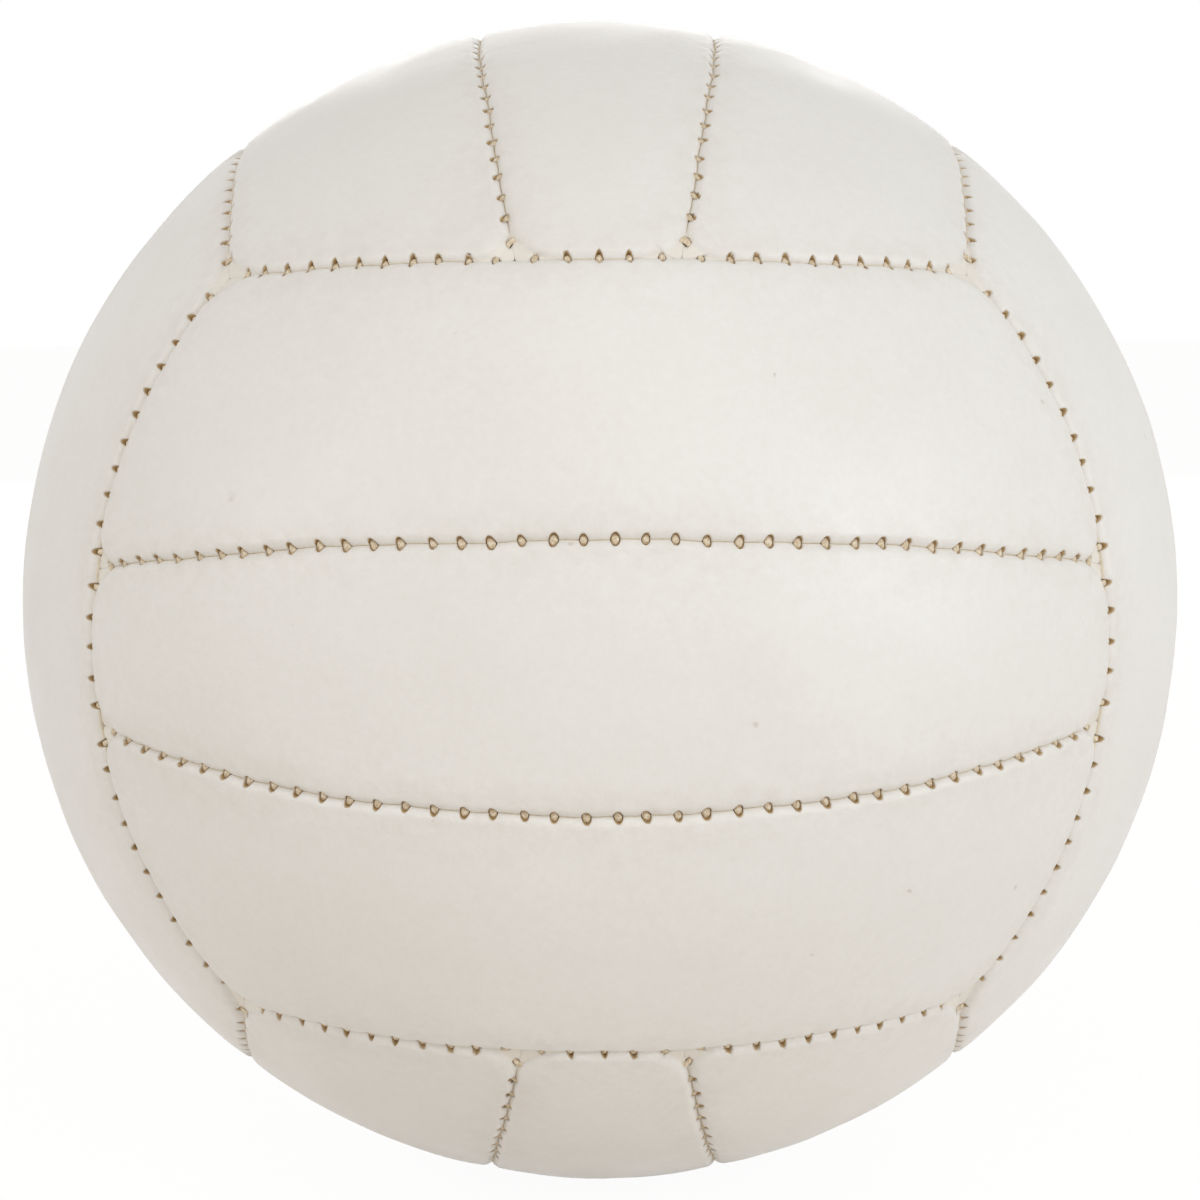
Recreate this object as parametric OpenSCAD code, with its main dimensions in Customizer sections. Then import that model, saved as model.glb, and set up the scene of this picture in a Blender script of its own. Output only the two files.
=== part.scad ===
// Gaelic football: eighteen leather panels, hand-stitched over cloth linings and an inflated bladder.
// The ball is centred on the origin with +Z up, and its six faces point along the axes.
// Everything is drawn on the front face, which points along -Y. Its three strips run along X and
// lie one above another along Z. The other faces are turned copies of it.

/* [Ball] */
// Distance round the ball
ball_circumference = 690; // [680:1:700]
// Width of a face of three strips over its middle, along the surface
face_w = 142; // [136:0.5:146]
// Width of a middle strip, along the surface
middle_strip_w = 44.5; // [40:0.5:50]

/* [Leather panels] */
// Thickness of the leather
leather_t = 2; // [1.6:0.1:2.4]
// Gap between two panels along a seam
seam_gap = 0.2; // [0.1:0.05:0.4]
// Depth of the edge that is turned in along a seam, below the surface of the ball
turned_edge = 4.8; // [4.6:0.1:5.6]
// Width of the bevel on a panel's edge
bevel_w = 1.5; // [1.2:0.1:1.8]
// Depth of the bevel on a panel's edge
bevel_d = 1.3; // [1.1:0.1:1.5]

/* [Stitching] */
// Distance between stitches along a seam
stitch_pitch = 4.9; // [4.6:0.1:6]
// Width of the flat thread, along the seam
thread_w = 1.1; // [0.9:0.05:1.2]
// Thickness of the thread
thread_t = 0.6; // [0.5:0.05:0.65]
// Depth of a stitch's top below the surface of the ball
thread_sink = 0.25; // [0.2:0.05:0.3]
// Angle at which the thread dives through the leather
thread_dive = 61; // [60:0.5:62]
// Clearance round the thread in its punched hole, along the seam
hole_clearance = 0.2; // [0.1:0.05:0.3]
// Clearance above and below the thread in its punched hole
hole_play = 0.15; // [0.1:0.01:0.16]
// Thickness of the cord that holds the stitches behind the turned-in edge
cord_t = 0.65; // [0.5:0.05:0.8]
// Clearance between the cord and the turned-in edge
cord_clearance = 0.2; // [0.15:0.05:0.3]
// Clearance between the cord and the lining
lining_clearance = 0.5; // [0.3:0.05:0.8]
// Distance from the corner of three faces to the first stitch
corner_margin = 4.5; // [4:0.1:6]
// Distance from the end of a seam between two strips to its first stitch
end_margin = 4.5; // [4:0.1:6]
// Distance from a strip seam that runs into a face's edge to the edge's nearest stitch
junction_margin = 3.2; // [3:0.1:4]

/* [Linings and bladder] */
// Thickness of the cloth lining behind each panel
lining_t = 1.2; // [0.8:0.1:1.4]
// Thickness of the glue between the leather and its lining
glue_t = 0.05; // [0.05:0.01:0.1]
// Wall thickness of the bladder
bladder_t = 0.9; // [0.6:0.1:1.2]
// Clearance between the bladder and the turned-in edges
bladder_clearance = 0.2; // [0.1:0.05:0.4]

/* [Valve] */
// Diameter of the valve's stem
stem_d = 9; // [8.5:0.5:11]
// Length of the stem inside the bladder
stem_inside = 9; // [8:0.5:12]
// Depth of the valve's end below the surface of the ball
stem_sink = 0.3; // [0.2:0.05:0.5]
// Clearance round the stem in the leather, the lining and the bladder
stem_clearance = 0.3; // [0.2:0.05:0.5]
// Diameter of the base that bonds the valve to the bladder
base_d = 28; // [20:1:34]
// Thickness of the valve's base
base_t = 1.2; // [0.8:0.1:1.3]
// Thickness of the bond between the base and the bladder
bond_t = 0.1; // [0.05:0.05:0.15]
// Diameter of the removable plug
plug_d = 5.4; // [5:0.1:6]
// Diameter of the plug's head
plug_head_d = 7; // [6.6:0.1:7.4]
// Thickness of the plug's head
plug_head_t = 1.5; // [1.2:0.1:2]
// Clearance round the plug in the stem
plug_clearance = 0.05; // [0.02:0.01:0.09]
// Length of the plug
plug_len = 13; // [11.5:0.5:13.5]
// Diameter of the plug's bore for an inflating needle
needle_d = 2.4; // [2.2:0.1:2.8]
// Length of the needle's bore
needle_len = 8; // [7:0.5:9]
// Depth of the funnel at the bore's mouth
funnel_d = 0.6; // [0.4:0.1:0.8]

/* [Hidden] */
$fn = 200;
ball_r = ball_circumference / (2 * PI);
leather_in_r = ball_r - leather_t;
lining_out_r = leather_in_r - glue_t;
lining_in_r = lining_out_r - lining_t;
turned_r = ball_r - turned_edge;
bladder_r = turned_r - bladder_clearance;
stem_top = ball_r - stem_sink;
stem_bottom = bladder_r - bladder_t - stem_inside;

// Every seam is an arc of a circle round an axis, where arc_angle is the angle between them.
// A seam between two strips lies on a great circle through the X axis, so it is a quarter of the
// distance round the ball away from its own axis.
function angle_over(length) = length / ball_r * 180 / PI;
function degrees_along(length, arc_angle) = angle_over(length) / sin(arc_angle);
strip_tilt = angle_over(middle_strip_w) / 2;
strip_arc = angle_over(ball_circumference / 4);
// A face's upper edge runs from corner to corner of the six faces, and its middle is set by face_w.
face_half = angle_over(face_w) / 2;
corner = 1 / sqrt(3);
edge_tilt = atan2(sin(face_half) - corner, cos(face_half) - corner);
edge_arc = strip_arc - face_half + edge_tilt;

// Where the seams end or meet, in degrees round their axes from the middle of the seam
edge_end = asin(corner / sin(edge_arc));
strip_end = acos(cos(edge_arc) / norm([cos(edge_tilt) * cos(strip_tilt), sin(edge_tilt)]))
    - atan2(sin(edge_tilt), cos(edge_tilt) * cos(strip_tilt));
edge_junction = asin(cos(edge_arc) * cos(edge_tilt) * tan(strip_tilt)
        / norm([sin(edge_arc), tan(strip_tilt) * sin(edge_arc) * sin(edge_tilt)]))
    + atan2(tan(strip_tilt) * sin(edge_tilt), 1);

// A stitch bridges the bevels of two panels and dives through a hole in each turned-in edge. Behind
// the edges it is held by two cords. Places are given as distances across the seam and above the surface.
seam_half = seam_gap / 2;
cord_in = seam_half + leather_t + cord_clearance;
cord_out = cord_in + cord_t;
lining_inset = cord_out + lining_clearance;
dive_run = [cos(thread_dive), -sin(thread_dive)];
// A place so far along the thread's path from the middle of the bevel, and so far above the path
function by_thread(along, above) =
    [bevel_w / 2, -bevel_d / 2] + along * dive_run + above * [-dive_run[1], dive_run[0]];
// The place beside the path at this height, or at this distance across the seam
function at_height(height, above) =
    by_thread((height + bevel_d / 2 - above * dive_run[0]) / dive_run[1], above);
function at_across(across, above) =
    by_thread((across - bevel_w / 2 + above * dive_run[1]) / dive_run[0], above);
// The same place on one side of the seam
function on_side(side, place) = [side * place[0], place[1]];
// How far a cutting shape runs past what it cuts
past = 1;

FACES = ["front", "left", "bottom", "back", "right", "top"];
SIDES = [["lower", "middle", "upper"], ["front", "middle", "rear"], ["left", "middle", "right"]];
function strip_name(face, strip) = str(FACES[face], "_", SIDES[face % 3][strip + 1]);

// Turns what is drawn on the front face to another face.
module on_face(face) {
    rotate(-120 * (face % 3), [1, 1, 1]) rotate([0, 0, face < 3 ? 0 : 180]) children();
}

// Turns what is drawn on a face's upper strip to its lower strip.
module on_strip(strip) {
    rotate([0, strip < 0 ? 180 : 0, 0]) children();
}

// Turns what is drawn on a face's upper edge to the neighbour's edge at an end of the strips.
module on_end(end) {
    on_face(end > 0 ? 4 : 1) rotate([0, 180, 0]) children();
}

// A cap of space whose conical rim cuts the surface of the ball along a seam's circle.
// Its walls point almost to the centre of the ball: cones that shared a tip couldn't be cut cleanly.
module seam_cap(angle) {
    tip = 1;
    function rim(height) = [(height - tip) * ball_r * sin(angle) / (ball_r * cos(angle) - tip), height];
    low = 0.4 * ball_r;
    high = 0.62 * ball_r;
    top = 1.1 * ball_r;
    rotate_extrude() polygon([[0, low], rim(low), rim(high), [rim(high)[0], top], [0, top]]);
}

// The half of space that is more than inset above a tilted plane through the X axis
module above_plane(tilt, inset) {
    size = 1.1 * ball_r;
    rotate([-tilt, 0, 0]) translate([-size, -size, inset]) cube([2 * size, 2 * size, size]);
}

// The wedge of space between the two ends of the strips, inset from them
module between_ends(inset) {
    intersection_for(end = [-1, 1])
        on_end(end) rotate([-edge_tilt, 0, 0]) seam_cap(edge_arc - angle_over(inset));
}

// The wedge of space that a middle strip takes up, inset from its seams
module middle_space(inset) {
    intersection() {
        above_plane(-strip_tilt, inset);
        rotate([0, 180, 0]) above_plane(-strip_tilt, inset);
        between_ends(inset);
    }
}

// The wedge of space that an upper strip takes up, inset from its seams
module outer_space(inset) {
    difference() {
        intersection() {
            above_plane(strip_tilt, inset);
            between_ends(inset);
        }
        rotate([-edge_tilt, 0, 0]) seam_cap(edge_arc + angle_over(inset));
    }
}

module strip_space(strip, inset) {
    if (strip == 0) middle_space(inset);
    else outer_space(inset);
}

// The ring that bevels the panels along a seam, to a little past its ends
module seam_bevel(tilt, arc_angle, end) {
    low = ball_r - bevel_d;
    high = ball_r + bevel_d;
    spread = 2 * angle_over(bevel_w);
    half_turn = end + degrees_along(3 * bevel_w, arc_angle);
    rotate([-tilt, 0, 0]) rotate([0, 0, -90 - half_turn]) rotate_extrude(angle = 2 * half_turn) polygon([
        low * [sin(arc_angle), cos(arc_angle)],
        high * [sin(arc_angle - spread), cos(arc_angle - spread)],
        high * [sin(arc_angle + spread), cos(arc_angle + spread)]]);
}

// Where the stitches are between two angles round a seam's axis
function stitch_turns(from, to, arc_angle) =
    let (steps = max(1, round((to - from) / degrees_along(stitch_pitch, arc_angle))))
    [for (step = [0:steps]) from + (to - from) * step / steps];
strip_turns = let (last = strip_end - degrees_along(end_margin, strip_arc))
    stitch_turns(-last, last, strip_arc);
middle_turns = let (last = edge_junction - degrees_along(junction_margin, edge_arc))
    stitch_turns(-last, last, edge_arc);
outer_turns = stitch_turns(edge_junction + degrees_along(junction_margin, edge_arc),
    edge_end - degrees_along(corner_margin, edge_arc), edge_arc);

// Where the stitches are on a face's edge along one strip of its neighbour
function edge_turns(strip) = strip == 0 ? middle_turns : strip * outer_turns;

// Sweeps places across a seam round the seam's axis, half the swing to each side of a turn.
module round_seam(tilt, arc_angle, turn, swing, places) {
    up = [sin(arc_angle), cos(arc_angle)];
    across = [-cos(arc_angle), sin(arc_angle)];
    rotate([-tilt, 0, 0]) rotate([0, 0, turn - 90 - swing / 2]) rotate_extrude(angle = swing)
        polygon([for (place = places) (ball_r + place[1]) * up + place[0] * across]);
}

// The holes that the awl punches in a strip along one seam
module punched_holes(tilt, arc_angle, turns, side) {
    half = thread_t / 2 + hole_play;
    far = (leather_t + past) / dive_run[0];
    corners = [by_thread(-past, -half), by_thread(far, -half), by_thread(far, half), by_thread(-past, half)];
    for (turn = turns)
        round_seam(tilt, arc_angle, turn, degrees_along(thread_w + 2 * hole_clearance, arc_angle),
            [for (place = corners) on_side(side, place)]);
}

// All punched holes of a strip
module strip_holes(strip) {
    if (strip == 0) punched_holes(strip_tilt, strip_arc, strip_turns, -1);
    if (strip == 0) rotate([0, 180, 0]) punched_holes(strip_tilt, strip_arc, strip_turns, -1);
    if (strip != 0) punched_holes(strip_tilt, strip_arc, strip_turns, 1);
    if (strip != 0) for (part = [-1:1]) punched_holes(edge_tilt, edge_arc, edge_turns(part), -1);
    for (end = [-1, 1]) on_end(end) punched_holes(edge_tilt, edge_arc, edge_turns(end * abs(strip)), 1);
}

// The hole for the valve's stem, on the front face
module stem_hole() {
    translate([0, -ball_r - past, 0]) rotate([-90, 0, 0])
        cylinder(h = 2 * turned_edge, d = stem_d + 2 * stem_clearance);
}

// A leather panel with its edges turned in, before it is bevelled and punched
module square_panel(strip) {
    difference() {
        intersection() {
            sphere(ball_r);
            strip_space(strip, seam_half);
        }
        sphere(turned_r);
        intersection() {
            sphere(leather_in_r);
            strip_space(strip, seam_half + leather_t);
        }
    }
}

// A panel with bevelled edges. The long edges are bevelled before the short ends, so that the
// bevels that meet at a corner are never cut in one step.
module bevelled_panel(strip) {
    difference() {
        difference() {
            square_panel(strip);
            seam_bevel(strip_tilt, strip_arc, strip_end);
            if (strip == 0) rotate([0, 180, 0]) seam_bevel(strip_tilt, strip_arc, strip_end);
            if (strip != 0) seam_bevel(edge_tilt, edge_arc, edge_end);
        }
        for (end = [-1, 1]) on_end(end) seam_bevel(edge_tilt, edge_arc, edge_end);
    }
}

// A leather panel
module panel(strip, has_valve) {
    color("ivory") difference() {
        bevelled_panel(strip);
        strip_holes(strip);
        if (has_valve) stem_hole();
    }
}

// A cloth lining, glued behind a panel inside the line of its stitches
module lining(strip, has_valve) {
    color("wheat") difference() {
        intersection() {
            sphere(lining_out_r);
            strip_space(strip, lining_inset);
        }
        sphere(lining_in_r);
        if (has_valve) stem_hole();
    }
}

// The stitches of a seam, and the cords behind its two edges that hold them
module thread(tilt, arc_angle, turns) {
    half = thread_t / 2;
    low = at_across(cord_in + 0.15 * cord_t, -half);
    leg = [at_height(-thread_sink, half), at_across(cord_in + 0.75 * cord_t, half), low];
    inner = at_height(-thread_sink - thread_t, -half);
    stitch = concat(leg, [inner], [for (place = [inner, leg[2], leg[1], leg[0]]) on_side(-1, place)]);
    for (turn = turns) round_seam(tilt, arc_angle, turn, degrees_along(thread_w, arc_angle), stitch);
    top = at_across(cord_in, half)[1] + 0.1;
    bottom = low[1] - 0.1;
    cord = [[cord_in, bottom], [cord_out, bottom], [cord_out, top], [cord_in, top]];
    swing = max(turns) - min(turns) + degrees_along(thread_w + 0.3, arc_angle);
    for (side = [-1, 1])
        round_seam(tilt, arc_angle, (max(turns) + min(turns)) / 2, swing,
            [for (place = cord) on_side(side, place)]);
}

// The threads of the two seams between a face's strips
module strip_stitching() {
    color("tan") for (strip = [-1, 1]) on_strip(strip) thread(strip_tilt, strip_arc, strip_turns);
}

// The threads along the two long edges of a face, one for each strip of the neighbours
module edge_stitching() {
    color("tan") for (strip = [-1, 1]) for (part = [-1:1])
        on_strip(strip) thread(edge_tilt, edge_arc, edge_turns(part));
}

// The rubber bladder, with a hole for the valve's stem at the back
module bladder() {
    color("dimgray") difference() {
        sphere(bladder_r);
        sphere(bladder_r - bladder_t);
        translate([0, bladder_r + past, 0]) rotate([90, 0, 0])
            cylinder(h = 2 * past + 2 * bladder_t, d = stem_d + 2 * stem_clearance);
    }
}

// The rubber valve: a stem through the ball's wall and a base that is bonded to the bladder
module valve_stem() {
    color("darkslategray") difference() {
        union() {
            rotate([-90, 0, 0]) translate([0, 0, stem_bottom]) cylinder(h = stem_top - stem_bottom, d = stem_d);
            intersection() {
                difference() {
                    sphere(bladder_r + bond_t + base_t);
                    sphere(bladder_r + bond_t);
                }
                rotate([-90, 0, 0]) cylinder(h = 1.1 * ball_r, d = base_d);
            }
        }
        rotate([-90, 0, 0]) translate([0, 0, stem_bottom - past])
            cylinder(h = stem_top - stem_bottom + 2 * past, d = plug_d + 2 * plug_clearance);
        rotate([-90, 0, 0]) translate([0, 0, stem_top - plug_head_t - plug_clearance])
            cylinder(h = plug_head_t + plug_clearance + past, d = plug_head_d + 2 * plug_clearance);
    }
}

// The plug that seals the valve, with a blind bore for the inflating needle
module valve_plug() {
    color("black") rotate([-90, 0, 0]) translate([0, 0, stem_top]) difference() {
        union() {
            translate([0, 0, -plug_len]) cylinder(h = plug_len, d = plug_d);
            translate([0, 0, -plug_head_t]) cylinder(h = plug_head_t, d = plug_head_d);
        }
        translate([0, 0, -funnel_d - needle_len]) cylinder(h = funnel_d + needle_len + past, d = needle_d);
        translate([0, 0, -funnel_d]) cylinder(h = 2 * funnel_d, d1 = needle_d, d2 = needle_d + 4 * funnel_d);
    }
}

for (face = [0:5]) for (strip = [-1:1]) {
    has_valve = FACES[face] == "back" && strip == 0;
    on_face(face) on_strip(strip) panel(strip, has_valve);
    on_face(face) on_strip(strip) lining(strip, has_valve);
}
for (face = [0:5]) {
    on_face(face) strip_stitching();
    on_face(face) edge_stitching();
}
bladder();
valve_stem();
valve_plug();
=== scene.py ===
"""Looks of the gaelic football: soft leather panels, waxed thread in punched holes, and a rubber valve.

Sizes are in millimetres until the meshes are made. The front face of the ball points along -Y. Its three
strips run along X and lie one above another along Z, and the other faces are turned copies of it.
"""

import math

import bpy
import numpy as np
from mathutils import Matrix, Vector, geometry


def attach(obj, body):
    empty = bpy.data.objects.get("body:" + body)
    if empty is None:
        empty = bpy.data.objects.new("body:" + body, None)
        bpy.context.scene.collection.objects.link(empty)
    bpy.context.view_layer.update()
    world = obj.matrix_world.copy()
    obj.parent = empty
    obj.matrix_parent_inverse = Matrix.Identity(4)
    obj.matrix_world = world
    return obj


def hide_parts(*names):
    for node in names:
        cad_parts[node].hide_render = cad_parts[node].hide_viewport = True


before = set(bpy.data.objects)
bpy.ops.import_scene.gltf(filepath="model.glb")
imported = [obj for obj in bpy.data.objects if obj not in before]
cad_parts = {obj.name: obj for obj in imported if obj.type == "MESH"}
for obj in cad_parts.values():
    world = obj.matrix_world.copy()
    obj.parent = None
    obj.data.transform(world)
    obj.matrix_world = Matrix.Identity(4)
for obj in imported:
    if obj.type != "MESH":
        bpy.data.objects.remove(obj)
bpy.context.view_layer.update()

MM = 0.001
BALL_CIRCUMFERENCE = 690
BALL_R = BALL_CIRCUMFERENCE / (2 * math.pi)

# The seams, as in the solid model
FACE_W = 142.0
MIDDLE_STRIP_W = 44.5
STITCH_PITCH = 4.9
CORNER_MARGIN = 4.5
END_MARGIN = 4.5
JUNCTION_MARGIN = 3.2
FACES = ["front", "left", "bottom", "back", "right", "top"]
SIDES = [["lower", "middle", "upper"], ["front", "middle", "rear"], ["left", "middle", "right"]]

STRIP_TILT = MIDDLE_STRIP_W / BALL_R / 2
STRIP_ARC = math.pi / 2
FACE_HALF = FACE_W / BALL_R / 2
CORNER = 1 / math.sqrt(3)
EDGE_TILT = math.atan2(math.sin(FACE_HALF) - CORNER, math.cos(FACE_HALF) - CORNER)
EDGE_ARC = math.pi / 2 - FACE_HALF + EDGE_TILT

# A third of a turn about the line through the origin and (1, 1, 1), and half turns about Z and Y
THIRD_TURN = np.array([[0.0, 1, 0], [0, 0, 1], [1, 0, 0]])
HALF_TURN_Z = np.diag([-1.0, -1, 1])
HALF_TURN_Y = np.diag([-1.0, 1, -1])


def face_turn(face):
    """The rotation that takes the front face to another face."""
    turn = np.linalg.matrix_power(THIRD_TURN, face % 3)
    if face >= 3:
        turn = turn @ HALF_TURN_Z
    return turn


def unit(vector):
    return vector / np.linalg.norm(vector, axis=-1, keepdims=True)


# How stitches stray from an even row: by a distance along the seam, a share of their size and a slant
STITCH_JITTER = 0.28
STITCH_SIZES = (0.91, 1.09)
STITCH_LEANS = (-0.22, 0.08)
# The waves of a seam: their lengths, and their heights, of which a seam gets this share or more
SEAM_WAVE_LENGTHS = np.array([47.0, 19.0, 8.3])
SEAM_WAVE_HEIGHTS = np.array([0.16, 0.11, 0.06])
LEAST_WAVE_SHARE = 0.6
# The waves fade out over the last sixth of each half of a seam
SEAM_WAVE_FADE = 6


class Seam:
    """An arc of a circle round an axis. A turn of 0 is the middle of the seam."""

    def __init__(self, turn, tilt, arc, parts, seed, hole):
        self.axis = turn @ np.array([0, math.sin(tilt), math.cos(tilt)])
        self.middle = turn @ np.array([0, -math.cos(tilt), math.sin(tilt)])
        self.along = turn @ np.array([1.0, 0, 0])
        self.arc = arc
        self.radius = BALL_R * math.sin(arc)
        self.hole = hole
        random = np.random.default_rng(seed)
        spots = []
        for low, high in parts:
            steps = max(1, round((high - low) * self.radius / STITCH_PITCH))
            spots.extend(np.linspace(low, high, steps + 1))
        count = len(spots)
        self.stitches = np.array(spots) + random.uniform(-STITCH_JITTER, STITCH_JITTER, count) / self.radius
        self.sizes = random.uniform(*STITCH_SIZES, count)
        self.leans = random.uniform(*STITCH_LEANS, count)
        self.end = max(abs(parts[0][0]), abs(parts[-1][1]))
        waves = len(SEAM_WAVE_HEIGHTS)
        self.heights = random.uniform(LEAST_WAVE_SHARE, 1.0, waves) * SEAM_WAVE_HEIGHTS
        self.phases = random.uniform(0, 2 * math.pi, waves)

    def wobble(self, turns):
        """How far the seam strays from its circle, in millimetres. It keeps to it at its ends."""
        length = turns * self.radius
        rates = 2 * math.pi / SEAM_WAVE_LENGTHS
        stray = sum(h * np.sin(r * length + p) for h, r, p in zip(self.heights, rates, self.phases))
        return stray * np.clip((1 - np.abs(turns) / self.end) * SEAM_WAVE_FADE, 0, 1)

    def points(self, turns, polar):
        """Unit vectors at these turns and at a polar angle from the axis."""
        turns = np.asarray(turns, float)
        polar = np.broadcast_to(np.asarray(polar, float), turns.shape)
        round_axis = np.cos(turns)[:, None] * self.middle + np.sin(turns)[:, None] * self.along
        return np.cos(polar)[:, None] * self.axis + np.sin(polar)[:, None] * round_axis

    def turn_of(self, point):
        return math.atan2(point @ self.along, point @ self.middle)

    def hole_reach(self, turns, sign):
        """How far the holes reach from the seam: those of a middle strip get short towards its ends."""
        share = np.clip(np.abs(turns) / self.end, 0, 1) ** 2
        return self.hole["reach"] * (1 + self.hole["grow"][sign] * share)

    def hole_shares(self, turns, sign, inset):
        """How far places beside the seam are from the nearest stitch, along the seam and away from it.

        Both are shares of its hole's half width and reach. They are raised to a power: their sum is 1 at
        the hole's rim.
        """
        nearest = np.abs(turns[:, None] - self.stitches[None, :]).argmin(axis=1)
        flare = self.hole["flare"] * turns / self.end * inset
        lean = sign * self.leans[nearest] * inset + max(sign, 0) * flare
        beside = np.abs((turns - self.stitches[nearest]) * self.radius - lean)
        power = self.hole["power"]
        near = (beside / (self.hole["half_w"] * self.sizes[nearest])) ** power
        reach = (inset / (self.hole_reach(turns, sign) * self.sizes[nearest])) ** power
        return near, reach


def strip_seam_end():
    """The turn at which a seam between two strips runs into the edge of its face."""
    reach = math.hypot(math.cos(EDGE_TILT) * math.cos(STRIP_TILT), math.sin(EDGE_TILT))
    lean = math.atan2(math.sin(EDGE_TILT), math.cos(EDGE_TILT) * math.cos(STRIP_TILT))
    return math.acos(math.cos(EDGE_ARC) / reach) - lean


def edge_junction():
    """The turn at which a seam between the neighbour's strips runs into the edge of a face."""
    slope = math.tan(STRIP_TILT)
    reach = math.hypot(math.sin(EDGE_ARC), slope * math.sin(EDGE_ARC) * math.sin(EDGE_TILT))
    lean = math.atan2(slope * math.sin(EDGE_TILT), 1)
    return math.asin(math.cos(EDGE_ARC) * math.cos(EDGE_TILT) * slope / reach) + lean


# The punched holes as seen: half their width, their reach from the seam, how that grows towards the ends
# of the seam on its two sides, how they lean outwards there and how round they are, and the thread in them
STRIP_HOLE = {"half_w": 0.78, "reach": 1.12, "grow": {1: 0.05, -1: -0.65}, "flare": 0.7,
              "power": 1.9, "thread_depth": 1.45, "thread_half_w": 0.66}
EDGE_HOLE = {"half_w": 0.68, "reach": 1.42, "grow": {1: 0.0, -1: 0.0}, "flare": 0.0,
             "power": 1.5, "thread_depth": 1.45, "thread_half_w": 0.56}
# The seeds of strip seams, which step from face to face, and how much higher those of edge seams are
SEAM_SEED = 100
SEAM_SEED_STEP = 10
EDGE_SEED_RISE = 500


def make_seams():
    """The seams between strips and those along the faces' edges, by face and side."""
    strip_last = strip_seam_end() - END_MARGIN / BALL_R
    strip_parts = [(-strip_last, strip_last)]
    round_edge = BALL_R * math.sin(EDGE_ARC)
    edge_end = math.asin(CORNER / math.sin(EDGE_ARC)) - CORNER_MARGIN / round_edge
    inner = edge_junction() - JUNCTION_MARGIN / round_edge
    outer = edge_junction() + JUNCTION_MARGIN / round_edge
    edge_parts = [(-edge_end, -outer), (-inner, inner), (outer, edge_end)]
    strips, edges = {}, {}
    for face in range(len(FACES)):
        for side in (-1, 1):
            turn = face_turn(face)
            if side < 0:
                turn = turn @ HALF_TURN_Y
            seed = SEAM_SEED + SEAM_SEED_STEP * face + side
            edge_seed = seed + EDGE_SEED_RISE
            strips[face, side] = Seam(turn, STRIP_TILT, STRIP_ARC, strip_parts, seed, STRIP_HOLE)
            edges[face, side] = Seam(turn, EDGE_TILT, EDGE_ARC, edge_parts, edge_seed, EDGE_HOLE)
    return strips, edges


strip_seams, edge_seams = make_seams()


def seam_at_end(turn, end):
    """The neighbour's edge seam that closes an end of the strips, found by its axis."""
    neighbour = turn @ face_turn(FACES.index("right" if end > 0 else "left")) @ HALF_TURN_Y
    axis = neighbour @ np.array([0, math.sin(EDGE_TILT), math.cos(EDGE_TILT)])
    return max(edge_seams.values(), key=lambda seam: seam.axis @ axis)


def panel_sides(face, strip):
    """A panel's four seams in order, each with 1 if the panel is on the side of its axis, else -1."""
    turn = face_turn(face)
    if strip < 0:
        turn = turn @ HALF_TURN_Y
    right = seam_at_end(turn, 1)
    left = seam_at_end(turn, -1)
    if strip == 0:
        low, high = strip_seams[face, -1], strip_seams[face, 1]
        return [(low, -1), (right, 1), (high, -1), (left, 1)]
    low, high = strip_seams[face, strip], edge_seams[face, strip]
    return [(low, 1), (right, 1), (high, -1), (left, 1)]


def panel_middle(face, strip):
    """The direction of the middle of a panel."""
    height = strip * (FACE_HALF + STRIP_TILT) / 2
    return face_turn(face) @ np.array([0, -math.cos(height), math.sin(height)])


# The rings of points on a panel, from the foot of its wall up and over the rolled edge. Where a hole sinks
# the top of the wall, its rings stay a step below one another. Insets are from the seam, and the coarse
# rings have one point for every few of a fine ring.
WALL_INSET = 0.01
WALL_DEPTHS = [3.3, 2.8, 2.3]
WALL_STEP = 0.12
FINE_INSETS = [0.01, 0.1, 0.19, 0.3, 0.42, 0.55, 0.69, 0.84, 1.0, 1.16, 1.32, 1.5, 1.75, 2.15, 2.7]
COARSE_INSETS = [3.4, 4.3, 5.4, 6.8, 8.5]
COARSE_STEP = 5
# The back of the leather
BACK_INSET = 2.0
BACK_DEPTH = 1.9

# The rolled edge and its steepest sine, the dip beside the seam and the sag across the panel
ROLL_W = 1.8
ROLL_D = 1.05
STEEPEST = 0.86
DIP_D = 0.18
DIP_W = 3.6
SAG_D = 0.06
SAG_W = 12.0
# The rounding of a panel's corners, the slope of the valley outside it, the distance from the seam that is
# held all over the valley so that the seam's tan paints shade into it, and the loss of distance from which a
# place counts as being in a corner
ROUNDING = 7.5
VALLEY_SLOPE = 0.12
VALLEY_SHADE_SEAM = 0.13
CORNER_LOSS = 0.02


def edge_depth(inset):
    """Depth of the leather below the ball's surface at a distance from the seam.

    Below 0 the distance is out in a corner, beyond the rounding of the panel, where a valley runs.
    """
    valley = VALLEY_SLOPE * np.maximum(-inset, 0)
    inset = np.maximum(inset, 0)
    short = STEEPEST * (1 - np.clip(inset / ROLL_W, 0, 1))
    roll = ROLL_D * (1 - np.sqrt(1 - short ** 2)) / (1 - math.sqrt(1 - STEEPEST ** 2))
    dip = DIP_D * np.exp(-((inset / DIP_W) ** 2))
    sag = SAG_D * np.exp(-inset / SAG_W)
    return roll + dip + sag + valley


def seam_distance(inset, rounded):
    """The distance from the seam that colours the leather: it is held small all over the valley in a corner,
    where the seam's tan paints shade.
    """
    return np.where(rounded < inset - CORNER_LOSS, np.maximum(rounded, VALLEY_SHADE_SEAM), inset)


# The lengths and heights of the leather's slow waves, how many there are of each, and the distance from a
# seam over which they fade out
LEATHER_WAVES = ((31.0, 0.05), (19.0, 0.035), (11.0, 0.02))
WAVES_OF_A_KIND = 3
LEATHER_WAVE_FADE = 6


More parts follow.
